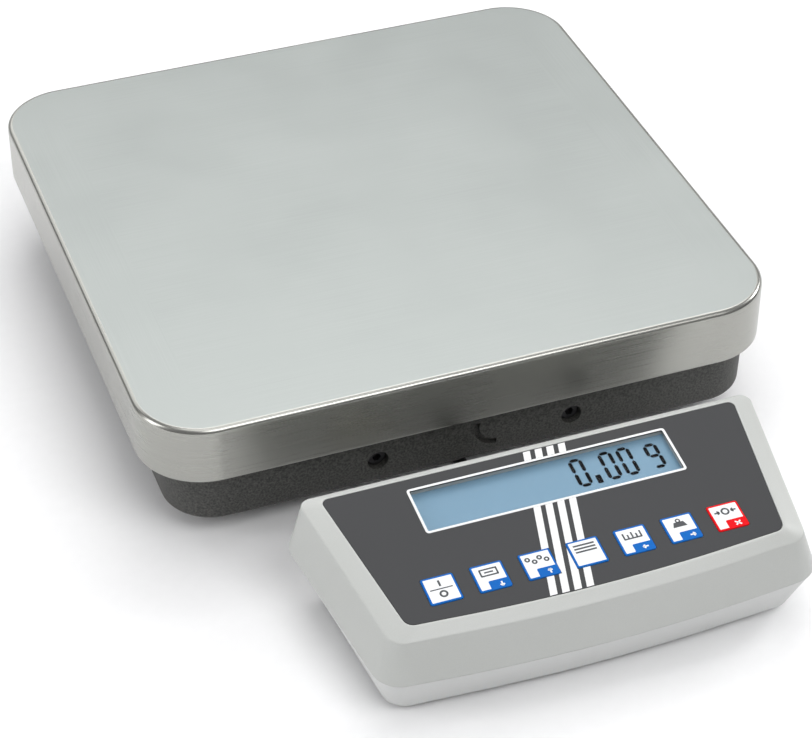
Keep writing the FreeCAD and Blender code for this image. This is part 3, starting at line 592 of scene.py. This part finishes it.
# %% [markdown]
# ## Upper cover
# The moulded cover runs from a seam low down, up a leaning wall to a ridge,
# over a narrow sloping band to the rim of the keypad pocket. Each edge of a
# real moulding is rounded a little, and it is those roundings that catch the
# light, so the rings between two walls follow a curve. The front edge bows
# out, so its outline has a fifth, very wide corner. The window is cut last,
# as a toolmaker would, with a Boolean modifier that is then applied.

# %% Tray outlines
SEAM_DROP, RIDGE_DROP, RIDGE_TILT = -22.7 * MM, -1.2 * MM, math.radians(1.2)
SEAM = Matrix.Translation(face_origin + Vector((0, 0, SEAM_DROP))) @ Matrix.Rotation(TILT, 4, "X")
RIDGE = (Matrix.Translation(face_origin + Vector((0, 0, RIDGE_DROP)))
         @ Matrix.Rotation(TILT + RIDGE_TILT, 4, "X"))
# Half widths at rear and front, rear edge, front edge, bow, radii at rear and front.
SEAM_SIZES = (118.5, 103.8, 2.6, -92.5, 9.05, 9.0, 13.0)
RIDGE_SIZES = (110.8, 97.8, 0.4, -88.2, 7.6, 4.5, 8.5)
FACE_SIZES = (102.2, 89.6, -2.4, -83.4, 7.2, 5.0, 6.5)
FILM_SIZES = (101.0, 88.9, -3.5, -82.0, 6.6, 3.0, 5.0)
BOW_RADIUS = 900.0
TRAY_STEPS = [8, 10, 24, 10, 8]
SHARP = 32


def tray(place, sizes, inset=0.0, z=0.0):
    """Outline that is wide at the rear, narrow and bowed at the front."""
    rear_half, front_half, rear, front, bow, rear_r, front_r = sizes
    corners = [(-rear_half + inset, rear - inset), (-front_half + inset, front + inset),
               (0.0, front + inset - bow), (front_half - inset, front + inset),
               (rear_half - inset, rear - inset)]
    ring = outline([(x * MM, y * MM) for x, y in corners],
                   [r * MM for r in (rear_r, front_r, BOW_RADIUS, front_r, rear_r)], TRAY_STEPS)
    return [place @ Vector((p.x, p.y, z * MM)) for p in ring]


def keep_sharp(piece):
    """Edges that turn more than this many degrees stay sharp in the shading."""
    piece.data.set_sharp_from_angle(angle=math.radians(SHARP))


# %% Upper cover
def upper_cover_rings():
    """From the pocket's floor, over the ridge, to the seam and back up inside."""
    floor_edge = tray(FACE, FILM_SIZES, -0.2, -1.4)
    pocket = tray(FACE, FILM_SIZES, -0.2)
    face_edge, ridge = tray(FACE, FACE_SIZES), tray(RIDGE, RIDGE_SIZES)
    seam = tray(SEAM, SEAM_SIZES)
    lip = tray(SEAM, SEAM_SIZES, 2.5)
    rows = [floor_edge]
    rows += bend(floor_edge, pocket, face_edge, 0.25 * MM, 3)
    rows += bend(pocket, face_edge, ridge, 0.6 * MM, 4)
    rows += bend(face_edge, ridge, seam, 0.7 * MM, 5)
    rows += bend(ridge, seam, lip, 0.5 * MM, 3)
    rows += [lip, tray(RIDGE, RIDGE_SIZES, 3.1, -2.5), tray(FACE, FACE_SIZES, 1.0, -3.5)]
    return rows


OPENING = ((-62.45, -9.7), (-62.45, -35.7), (62.45, -35.7), (62.45, -9.7))
CUT_FROM, CUT_TO = -9.0, 1.0


def cut_window(piece):
    """Cut the window's opening through the pocket floor."""
    rings = [[FACE @ Vector((x * MM, y * MM, z * MM)) for x, y in OPENING]
             for z in (CUT_FROM, CUT_TO)]
    cutter = skin("window_cutter", rings, ["housing_plastic"])
    modifier = piece.modifiers.new("window", "BOOLEAN")
    modifier.object = cutter
    modifier.solver = "EXACT"
    bpy.context.view_layer.update()
    ready = piece.evaluated_get(bpy.context.evaluated_depsgraph_get())
    mesh = bpy.data.meshes.new_from_object(ready)
    piece.modifiers.clear()
    piece.data = mesh
    bpy.data.objects.remove(cutter)


upper_cover = skin("display_upper_cover", upper_cover_rings(), ["housing_plastic"])
cut_window(upper_cover)
keep_sharp(upper_cover)
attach(upper_cover, "base")
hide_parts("upper_cover")
print("upper cover", len(upper_cover.data.polygons), "faces")

# %% [markdown]
# ## Printing
# Printed ink is a real layer, a few hundredths of a millimetre thick. It could
# be a pattern in the film's material, but thin plates keep their edges crisp
# at any distance and reach the exported mesh too. Stripes and symbols here are
# plain and generic. A stripe stops at the openings of the keys, so that a key
# can go down without print lying over it.

# %% Print tools
INK = 0.03


def plate(work, points, low, high, place):
    """Flat plate through the points, between two heights above the face."""
    under = [work.verts.new(place @ Vector((x * MM, y * MM, low * MM))) for x, y in points]
    over = [work.verts.new(place @ Vector((x * MM, y * MM, high * MM))) for x, y in points]
    work.faces.new(over)
    work.faces.new(list(reversed(under)))
    for i in range(len(points)):
        j = (i + 1) % len(points)
        work.faces.new([under[i], under[j], over[j], over[i]])


def band(work, outer, inner, low, high, place):
    """Closed band between two outlines with as many points each."""
    for i in range(len(outer)):
        j = (i + 1) % len(outer)
        plate(work, [outer[i], outer[j], inner[j], inner[i]], low, high, place)


def round_box(x0, y0, x1, y1, radius, steps=5):
    """Corner points of a box with rounded corners."""
    ring = outline([(x0, y1), (x0, y0), (x1, y0), (x1, y1)], [radius] * 4, [steps] * 4)
    return [(p.x, p.y) for p in ring]


def ring_points(x, y, radius, steps=28):
    """Points of a circle."""
    return [(x + radius * math.cos(2 * math.pi * i / steps),
             y + radius * math.sin(2 * math.pi * i / steps)) for i in range(steps)]


def printed(name, draw, finish, body, place=FACE):
    """A print layer: draw(work, place) fills a mesh, which then rides on a body."""
    work = bmesh.new()
    draw(work, place)
    bmesh.ops.recalc_face_normals(work, faces=work.faces)
    mesh = bpy.data.meshes.new(name)
    work.to_mesh(mesh)
    work.free()
    mesh.materials.append(FINISHES[finish])
    piece = bpy.data.objects.new(name, mesh)
    bpy.context.scene.collection.objects.link(piece)
    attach(piece, body)
    print(name, len(mesh.polygons), "faces")


# %% Film print
WINDOW = (-61.85, -35.1, 61.85, -10.3)
KEY_SIZE = 15.0
KEY_GAP = 0.15                         # round a key, left free of print
STRIPE_REAR, STRIPE_FRONT = (-4.4, -3.7), (-25.2, -87.3)
STRIPES, STRIPE_PITCH, STRIPE_WIDTH = 4, 5.7, 3.4
STRIPE_TOP, STRIPE_END = -3.9, -87.0
STRIPE_GAP, EDGE_GAP = 1.2, 0.25       # to the window, to the film's front edge
LINE_OUT, LINE_OUT_RADIUS = 1.1, 1.6   # the line round the window, outside
LINE_IN, LINE_IN_RADIUS = 0.1, 0.6     # and inside


def key_middle(name):
    """Middle of a key, in millimetres on the face."""
    low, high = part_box("key_" + name)
    middle = (Vector(low) + Vector(high)) / 2
    return (FACE.inverted() @ middle) / MM


def stripe_x(y):
    """Left edge of the first stripe at a height on the face."""
    part = (y - STRIPE_REAR[1]) / (STRIPE_FRONT[1] - STRIPE_REAR[1])
    return STRIPE_REAR[0] + part * (STRIPE_FRONT[0] - STRIPE_REAR[0])


def front_edge(x):
    """Just inside the film's bowed front edge, at a place across it."""
    front_half, front, bow = FILM_SIZES[1], FILM_SIZES[3], FILM_SIZES[4]
    rounding = BOW_RADIUS * (1 / math.cos(math.atan(bow / front_half)) - 1)
    return front - bow + rounding + x * x / (2 * BOW_RADIUS) + EDGE_GAP


def beyond(points, axis, limit, side):
    """What is left of a convex outline on one side of a straight cut."""
    left = []
    for a, b in zip(points, points[1:] + points[:1]):
        if side * (a[axis] - limit) >= 0:
            left.append(a)
        if (a[axis] - limit) * (b[axis] - limit) < 0:
            part = (limit - a[axis]) / (b[axis] - a[axis])
            left.append((a[0] + part * (b[0] - a[0]), a[1] + part * (b[1] - a[1])))
    return left


def around_key(points, key):
    """Pieces of a convex outline that are left round a key's opening."""
    middle, half = key_middle(key), KEY_SIZE / 2 + KEY_GAP
    beside = beyond(beyond(points, 1, middle.y - half, 1), 1, middle.y + half, -1)
    pieces = [beyond(points, 1, middle.y + half, 1), beyond(points, 1, middle.y - half, -1),
              beyond(beside, 0, middle.x - half, -1), beyond(beside, 0, middle.x + half, 1)]
    return [piece for piece in pieces if len(piece) > 2]


def draw_stripes(work, place):
    for i in range(STRIPES):
        shift = i * STRIPE_PITCH
        front = front_edge(stripe_x(STRIPE_END) + shift)
        for top, bottom in ((STRIPE_TOP, WINDOW[3] + STRIPE_GAP), (WINDOW[1] - STRIPE_GAP, front)):
            pieces = [[(stripe_x(top) + shift, top), (stripe_x(bottom) + shift, bottom),
                       (stripe_x(bottom) + shift + STRIPE_WIDTH, bottom),
                       (stripe_x(top) + shift + STRIPE_WIDTH, top)]]
            for key in KEYS:
                pieces = [rest for piece in pieces for rest in around_key(piece, key)]
            for piece in pieces:
                plate(work, piece, 0.0, INK, place)


def draw_window_line(work, place):
    x0, y0, x1, y1 = WINDOW
    band(work, round_box(x0 - LINE_OUT, y0 - LINE_OUT, x1 + LINE_OUT, y1 + LINE_OUT,
                         LINE_OUT_RADIUS),
         round_box(x0 + LINE_IN, y0 + LINE_IN, x1 - LINE_IN, y1 - LINE_IN, LINE_IN_RADIUS),
         0.0, INK, place)


printed("film_stripes", draw_stripes, "ink_white", "base")
printed("window_line", draw_window_line, "ink_white", "base")

# %% [markdown]
# ## Figures in the window
# A liquid-crystal figure is made of straight segments that are switched on
# together. Each segment is one plate with its ends cut to a point, a hair
# above the glass of the panel, so it is seen down in its well.

# %% Figures
PANEL_TOP = -3.7
FIGURE_LOW, FIGURE_TOP = PANEL_TOP + 0.01, PANEL_TOP + 0.06
FIGURE_WIDTH, STROKE, SEGMENT_GAP = 6.8, 1.8, 0.5
ZEROS, ZERO_BASE, ZERO_HEIGHT = (13.9, 28.4, 37.3), -29.0, 17.2
UNIT_LEFT, UNIT_BASE, UNIT_HEIGHT = 50.4, -28.8, 15.4
POINT_BOX, POINT_RADIUS = (22.8, -29.0, 25.4, -24.0), 0.4
SEGMENTS = {"0": "abcdef", "g": "abcdfg"}


def segment(work, place, x, y, length, upright):
    """One stroke of a figure, its ends cut to a point."""
    half, cut = length / 2, STROKE / 2
    if upright:
        points = [(x - cut, y - half + cut), (x, y - half), (x + cut, y - half + cut),
                  (x + cut, y + half - cut), (x, y + half), (x - cut, y + half - cut)]
    else:
        points = [(x - half, y), (x - half + cut, y - cut), (x + half - cut, y - cut),
                  (x + half, y), (x + half - cut, y + cut), (x - half + cut, y + cut)]
    plate(work, points, FIGURE_LOW, FIGURE_TOP, place)


def figure(work, place, sign, x, y, height):
    """One seven-segment figure with its lower left corner at x, y."""
    left, right, middle = x + STROKE / 2, x + FIGURE_WIDTH - STROKE / 2, y + height / 2
    low, top, centre = y + STROKE / 2, y + height - STROKE / 2, (left + right) / 2
    across = FIGURE_WIDTH - STROKE - SEGMENT_GAP
    tall = (height - STROKE) / 2 - SEGMENT_GAP
    spots = {"a": (centre, top, across, False), "d": (centre, low, across, False),
             "g": (centre, middle, across, False),
             "b": (right, (middle + top) / 2, tall, True),
             "c": (right, (middle + low) / 2, tall, True),
             "f": (left, (middle + top) / 2, tall, True),
             "e": (left, (middle + low) / 2, tall, True)}
    for letter in SEGMENTS[sign]:
        segment(work, place, *spots[letter])


def draw_figures(work, place):
    for x in ZEROS:
        figure(work, place, "0", x, ZERO_BASE, ZERO_HEIGHT)
    plate(work, round_box(*POINT_BOX, POINT_RADIUS), FIGURE_LOW, FIGURE_TOP, place)
    figure(work, place, "g", UNIT_LEFT, UNIT_BASE, UNIT_HEIGHT)


printed("window_figures", draw_figures, "lcd_ink", "base")

# %% [markdown]
# ## Keys
# Each key is a raised, rounded pad of the keypad film with a coloured border,
# and most have a coloured tab in the lower right corner. One skin per key
# carries both colours by ring. What the real keys say in words is said here
# with plain symbols, cut as print layers that ride on the key.

# %% Key caps
KEY_LOW, KEY_TOP, BORDER = -0.45, 0.35, 0.95
# A key's rings from its foot up: how far inside its outline, and how high.
KEY_RINGS = ((0.25, KEY_LOW), (0.0, KEY_LOW + 0.1), (0.0, KEY_TOP - 0.25),
             (0.07, KEY_TOP - 0.08), (0.25, KEY_TOP), (BORDER, KEY_TOP), (BORDER + 0.4, KEY_TOP))
FIRST_WHITE_ROW = 5
KEY_ROUNDING, LEAST_ROUNDING, KEY_STEPS = 1.0, 0.35, 6
TABBED = ("print", "reference", "resolution", "unit", "tare")


def key_place(name):
    middle = key_middle(name)
    return FACE @ Matrix.Translation(Vector((middle.x, middle.y, 0.0)) * MM)


def key_colour(name):
    return "ink_red" if name == "tare" else "ink_blue"


def key_cap(name):
    place = key_place(name)
    rows = []
    for inset, z in KEY_RINGS:
        half = KEY_SIZE / 2 - inset
        ring = round_box(-half, -half, half, half,
                         max(KEY_ROUNDING - inset, LEAST_ROUNDING), KEY_STEPS)
        rows.append([place @ Vector((x * MM, y * MM, z * MM)) for x, y in ring])
    cap = skin("cap_" + name, rows, [key_colour(name), "key_white"],
               lambda row: 1 if row >= FIRST_WHITE_ROW else 0)
    keep_sharp(cap)
    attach(cap, "key_" + name)
    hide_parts("key_" + name)


for key in KEYS:
    key_cap(key)

# %% Key symbols
SYMBOL_TOP = KEY_TOP + INK
SIGN_TOP = SYMBOL_TOP + INK
THIN, SIGN_STROKE = 0.8, 0.75


def bar(work, place, x0, y0, x1, y1, width, high=SYMBOL_TOP):
    """Straight stroke from one point to another."""
    run = Vector((x1 - x0, y1 - y0))
    side = Vector((-run.y, run.x)).normalized() * width / 2
    plate(work, [(x0 + side.x, y0 + side.y), (x0 - side.x, y0 - side.y),
                 (x1 - side.x, y1 - side.y), (x1 + side.x, y1 + side.y)], KEY_TOP, high, place)


def hoop(work, place, x, y, radius, width):
    """Ring drawn with one stroke."""
    band(work, ring_points(x, y, radius + width / 2), ring_points(x, y, radius - width / 2),
         KEY_TOP, SYMBOL_TOP, place)


def draw_power(work, place):
    bar(work, place, -5.2, 0.3, 5.2, 0.3, 0.6)
    bar(work, place, 0, 1.7, 0, 5.0, 1.0)
    hoop(work, place, 0, -2.7, 1.5, 0.95)


def draw_print(work, place):
    for y in (0.9, 4.4):
        bar(work, place, -4.0, y, 4.0, y, THIN)
    for x in (-3.8, 3.8):
        bar(work, place, x, 0.7, x, 4.6, THIN)
    bar(work, place, -2.1, 2.65, 2.1, 2.65, THIN)


def draw_reference(work, place):
    for i, x in enumerate((-4.2, -1.4, 1.4, 4.2)):
        hoop(work, place, x, 2.7 + 0.9 * (-1) ** i, 0.9, THIN)


def draw_mode(work, place):
    for y in (0.8, 2.6, 4.4):
        bar(work, place, -5.0, y, 5.0, y, 0.9)


def draw_resolution(work, place):
    bar(work, place, -4.3, 1.1, 4.3, 1.1, THIN)
    for i in range(5):
        x = -4.0 + 2.0 * i
        bar(work, place, x, 1.1, x, 3.5 + 1.1 * ((i + 1) % 2), THIN)


def draw_unit(work, place):
    plate(work, [(-3.4, 0.7), (3.4, 0.7), (2.3, 3.5), (-2.3, 3.5)], KEY_TOP, SYMBOL_TOP, place)
    hoop(work, place, 0, 4.2, 0.9, 0.7)


def draw_tare(work, place):
    hoop(work, place, 0, 2.8, 1.6, 0.9)
    for side in (-1, 1):
        bar(work, place, side * 5.2, 2.8, side * 2.8, 2.8, THIN)
        bar(work, place, side * 2.8, 2.8, side * 3.8, 3.8, THIN)
        bar(work, place, side * 2.8, 2.8, side * 3.8, 1.8, THIN)


def arrow(work, place, x, y, dx, dy):
    """Small white arrow on a tab, pointing along dx, dy."""
    bar(work, place, x - dx * 1.2, y - dy * 1.2, x + dx * 1.2, y + dy * 1.2, SIGN_STROKE, SIGN_TOP)
    for side in (-1, 1):
        bar(work, place, x + dx * 1.3, y + dy * 1.3, x + dx * 0.3 - side * dy * 0.95,
            y + dy * 0.3 + side * dx * 0.95, SIGN_STROKE, SIGN_TOP)


DRAWINGS = {"power": draw_power, "print": draw_print, "reference": draw_reference,
            "mode": draw_mode, "resolution": draw_resolution, "unit": draw_unit, "tare": draw_tare}
# Which way each tab's arrow points. The tare key has a cross instead.
ARROWS = {"print": (0, -1), "reference": (0, 1), "resolution": (-1, 0), "unit": (1, 0),
          "tare": (0, 0)}
TAB_LEFT, TAB_EDGE, TAB_HEIGHT, TAB_ROUNDING = -2.2, 0.3, 5.2, 0.7
SIGN_X, SIGN_Y = 3.4, -5.0
CROSS_LEFT, CROSS_RIGHT, CROSS_HALF = 1.6, 4.2, 1.1


def draw_tab(work, place):
    half = KEY_SIZE / 2
    corners = (TAB_LEFT, -half + TAB_EDGE, half - TAB_EDGE, -half + TAB_HEIGHT)
    plate(work, round_box(*corners, TAB_ROUNDING), KEY_TOP, SYMBOL_TOP, place)


def draw_tab_sign(dx, dy):
    """A drawing of the sign on one tab, for printed() to call."""
    def draw(work, place):
        if dx or dy:
            arrow(work, place, SIGN_X, SIGN_Y, dx, dy)
        else:
            for turn in (-1, 1):
                bar(work, place, CROSS_LEFT, SIGN_Y - turn * CROSS_HALF,
                    CROSS_RIGHT, SIGN_Y + turn * CROSS_HALF, SIGN_STROKE, SIGN_TOP)
    return draw


for key in KEYS:
    place = key_place(key)
    printed("symbol_" + key, DRAWINGS[key], "ink_dark", "key_" + key, place)
    if key in TABBED:
        printed("tab_" + key, draw_tab, key_colour(key), "key_" + key, place)
        printed("sign_" + key, draw_tab_sign(*ARROWS[key]), "ink_white",
                "key_" + key, place)

# %% [markdown]
# ## Ribs and pins
# What repeats is made once and copied by Geometry Nodes. A ring of ribs gives
# each levelling foot its grip, and two rows of pins fill the data connector.
# The small trees take their count, spacing and place
# from named inputs, and end in Realize Instances so that the copies are real.

# %% Copying trees
def copying_tree(name, finish, ringed):
    """Copies of a small part on a ring round a centre, or in a row."""
    tree = bpy.data.node_groups.new(name, "GeometryNodeTree")
    sockets = tree.interface
    sockets.new_socket("Part", in_out="INPUT", socket_type="NodeSocketGeometry")
    sockets.new_socket("Count", in_out="INPUT", socket_type="NodeSocketInt")
    sockets.new_socket("Radius", in_out="INPUT", socket_type="NodeSocketFloat")
    sockets.new_socket("Start", in_out="INPUT", socket_type="NodeSocketVector")
    sockets.new_socket("Step", in_out="INPUT", socket_type="NodeSocketVector")
    sockets.new_socket("Copies", in_out="OUTPUT", socket_type="NodeSocketGeometry")
    nodes, links = tree.nodes, tree.links
    start, end = nodes.new("NodeGroupInput"), nodes.new("NodeGroupOutput")
    copies = nodes.new("GeometryNodeInstanceOnPoints")
    real = nodes.new("GeometryNodeRealizeInstances")
    paint = nodes.new("GeometryNodeSetMaterial")
    paint.inputs["Material"].default_value = FINISHES[finish]
    links.new(start.outputs["Part"], copies.inputs["Instance"])
    if ringed:
        spots = nodes.new("GeometryNodeMeshCircle")
        move = nodes.new("GeometryNodeTransform")
        where = nodes.new("GeometryNodeInputPosition")
        turn = nodes.new("FunctionNodeAlignRotationToVector")
        turn.axis = "X"
        turn.pivot_axis = "Z"
        links.new(start.outputs["Count"], spots.inputs["Vertices"])
        links.new(start.outputs["Radius"], spots.inputs["Radius"])
        links.new(where.outputs[0], turn.inputs["Vector"])
        links.new(turn.outputs[0], copies.inputs["Rotation"])
        links.new(spots.outputs[0], copies.inputs["Points"])
        links.new(copies.outputs[0], move.inputs["Geometry"])
        links.new(start.outputs["Start"], move.inputs["Translation"])
        links.new(move.outputs[0], real.inputs[0])
    else:
        spots = nodes.new("GeometryNodeMeshLine")
        links.new(start.outputs["Count"], spots.inputs["Count"])
        links.new(start.outputs["Start"], spots.inputs["Start Location"])
        links.new(start.outputs["Step"], spots.inputs["Offset"])
        links.new(spots.outputs[0], copies.inputs["Points"])
        links.new(copies.outputs[0], real.inputs[0])
    links.new(real.outputs[0], paint.inputs["Geometry"])
    links.new(paint.outputs[0], end.inputs[0])
    return tree


def small_bar(width, depth, height, edge):
    """Bevelled bar round the origin, standing on z 0: the part to copy."""
    work = bmesh.new()
    bmesh.ops.create_cube(work, size=1.0)
    bmesh.ops.scale(work, vec=(width, depth, height), verts=work.verts)
    bmesh.ops.translate(work, vec=(0, 0, height / 2), verts=work.verts)
    bmesh.ops.bevel(work, geom=list(work.edges), offset=edge, segments=2, affect="EDGES")
    mesh = bpy.data.meshes.new("part_to_copy")
    work.to_mesh(mesh)
    work.free()
    return mesh


def copied(name, mesh, tree, values, body):
    """Run a copying tree on a small part and keep the result as a plain mesh."""
    piece = bpy.data.objects.new(name, mesh)
    bpy.context.scene.collection.objects.link(piece)
    modifier = piece.modifiers.new("copies", "NODES")
    modifier.node_group = tree
    for item in tree.interface.items_tree:
        if item.name in values:
            modifier[item.identifier] = values[item.name]
    bpy.context.view_layer.update()
    result = bpy.data.meshes.new_from_object(
        piece.evaluated_get(bpy.context.evaluated_depsgraph_get()))
    piece.modifiers.clear()
    piece.data = result
    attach(piece, body)
    print(name, len(result.polygons), "faces")


# %% Ribs and pins
RIBS, RIB_RING, RIB_FOOT = 24, 13.7 * MM, 2.6 * MM
RIB_SIZE = (0.7 * MM, 1.3 * MM, 3.6 * MM, 0.2 * MM)
PIN_SIZE = (0.7 * MM, 3.4 * MM, 0.7 * MM, 0.15 * MM)
PIN_PITCH, PIN_DEPTH, PIN_DROP = 2.77, 2.6 * MM, 0.3 * MM
PIN_ROWS = ((5, 1.4), (4, -1.4))       # pins in a row, millimetres above the middle
grip_tree = copying_tree("grip_ribs", "foot_plastic", True)
pin_tree = copying_tree("pin_row", "connector_metal", False)
for i in range(1, 5):
    low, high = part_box("foot_disc_%d" % i)
    middle = ((low[0] + high[0]) / 2, (low[1] + high[1]) / 2, RIB_FOOT)
    copied("foot_grip_%d" % i, small_bar(*RIB_SIZE), grip_tree,
           {"Count": RIBS, "Radius": RIB_RING, "Start": middle}, "foot_%d" % i)
socket_low, socket_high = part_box("data_socket")
socket_middle = [(a + b) / 2 for a, b in zip(socket_low, socket_high)]
for row, (count, lift) in enumerate(PIN_ROWS, 1):
    start = (socket_middle[0] - (count - 1) / 2 * PIN_PITCH * MM, socket_high[1] - PIN_DEPTH,
             socket_middle[2] + lift * MM - PIN_DROP)
    copied("socket_pins_%d" % row, small_bar(*PIN_SIZE), pin_tree,
           {"Count": count, "Start": start, "Step": (PIN_PITCH * MM, 0, 0)}, "base")
